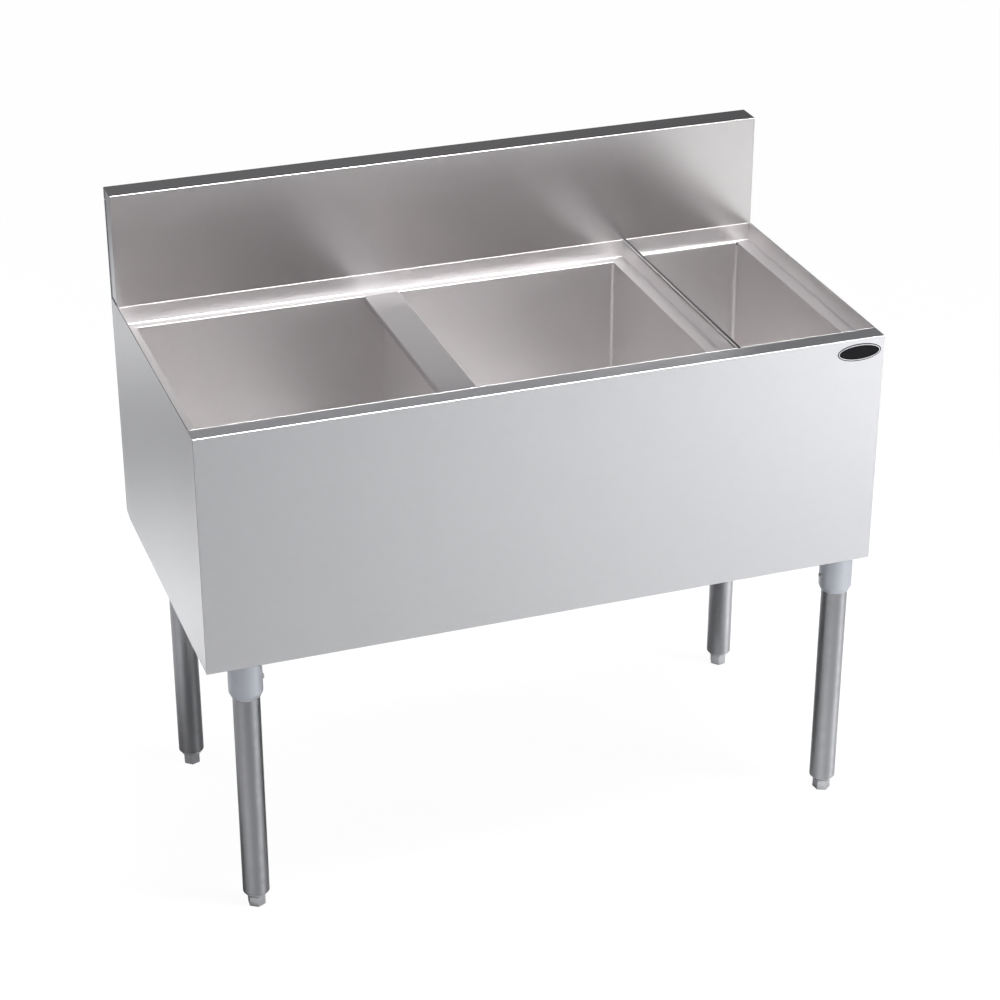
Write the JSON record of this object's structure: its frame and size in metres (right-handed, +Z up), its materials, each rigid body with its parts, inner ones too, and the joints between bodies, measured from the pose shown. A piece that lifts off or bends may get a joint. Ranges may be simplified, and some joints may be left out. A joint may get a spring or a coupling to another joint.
{
  "type": "underbar ice bin and bottle well unit",
  "caption": "Stainless underbar unit on tubular legs: two deep ice bins and a narrow bottle well sunk in a boxed body with a tall backsplash and screw feet.",
  "frame": {"origin": "on the floor, under the middle of the body", "axes": "+X to the user's right along the apron, +Y to the wall, +Z up"},
  "size_m": [1.0668, 0.5369, 1.006],
  "materials": {
    "stainless_body": "brushed along its length, satin",
    "stainless_liner": "drawn, fine satin",
    "galvanised": "galvanised, dull",
    "leg_steel": "brushed tube",
    "cast_socket": "cast, matte",
    "drain_metal": "turned",
    "zinc": "zinc plated",
    "rubber": "matte",
    "insulation": "rigid foam skin",
    "nameplate": "dark anodised plate"
  },
  "bodies": {
    "frame": {"front_apron": "stainless_body", "side_panel_left": "stainless_body", "side_panel_right": "stainless_body", "backsplash": "stainless_body", "splash_end_cap_left": "stainless_body", "splash_end_cap_right": "stainless_body", "rear_panel": "galvanised", "bottom_pan": "galvanised", "splash_stiffener": "galvanised", "leg_channel_left": "galvanised", "leg_channel_right": "galvanised", "cross_rail_front": "galvanised", "cross_rail_back": "galvanised", "ice_bin_liner": "stainless_liner", "bottle_well_liner": "stainless_liner", "bin_divider_left_angle": "stainless_liner", "bin_divider_right_angle": "stainless_liner", "ice_bin_foam": "insulation", "bottle_well_foam": "insulation", "drain_nipple_left_bin": "drain_metal", "drain_strainer_left_bin": "drain_metal", "drain_locknut_left_bin": "drain_metal", "drain_gasket_left_bin": "rubber", "drain_nipple_right_bin": "drain_metal", "drain_strainer_right_bin": "drain_metal", "drain_locknut_right_bin": "drain_metal", "drain_gasket_right_bin": "rubber", "drain_nipple_bottle_well": "drain_metal", "drain_strainer_bottle_well": "drain_metal", "drain_locknut_bottle_well": "drain_metal", "drain_gasket_bottle_well": "rubber", "leg_socket_front_left": "cast_socket", "leg_tube_front_left": "leg_steel", "leg_insert_front_left": "zinc", "leg_socket_front_right": "cast_socket", "leg_tube_front_right": "leg_steel", "leg_insert_front_right": "zinc", "leg_socket_back_left": "cast_socket", "leg_tube_back_left": "leg_steel", "leg_insert_back_left": "zinc", "leg_socket_back_right": "cast_socket", "leg_tube_back_right": "leg_steel", "leg_insert_back_right": "zinc", "leg_set_screws": "zinc", "socket_bolts": "zinc", "socket_nuts": "zinc", "rear_panel_screws": "zinc", "nameplate": "nameplate"},
    "foot_front_left": {"foot_front_left": "leg_steel"},
    "foot_front_right": {"foot_front_right": "leg_steel"},
    "foot_back_left": {"foot_back_left": "leg_steel"},
    "foot_back_right": {"foot_back_right": "leg_steel"}
  },
  "joints": [
    {"name": "foot_front_left_screw", "type": "slide", "parent": "frame", "child": "foot_front_left", "axis": [0, 0, -1], "range_m": [0, 0.025]},
    {"name": "foot_front_right_screw", "type": "slide", "parent": "frame", "child": "foot_front_right", "axis": [0, 0, -1], "range_m": [0, 0.025]},
    {"name": "foot_back_left_screw", "type": "slide", "parent": "frame", "child": "foot_back_left", "axis": [0, 0, -1], "range_m": [0, 0.025]},
    {"name": "foot_back_right_screw", "type": "slide", "parent": "frame", "child": "foot_back_right", "axis": [0, 0, -1], "range_m": [0, 0.025]}
  ]
}
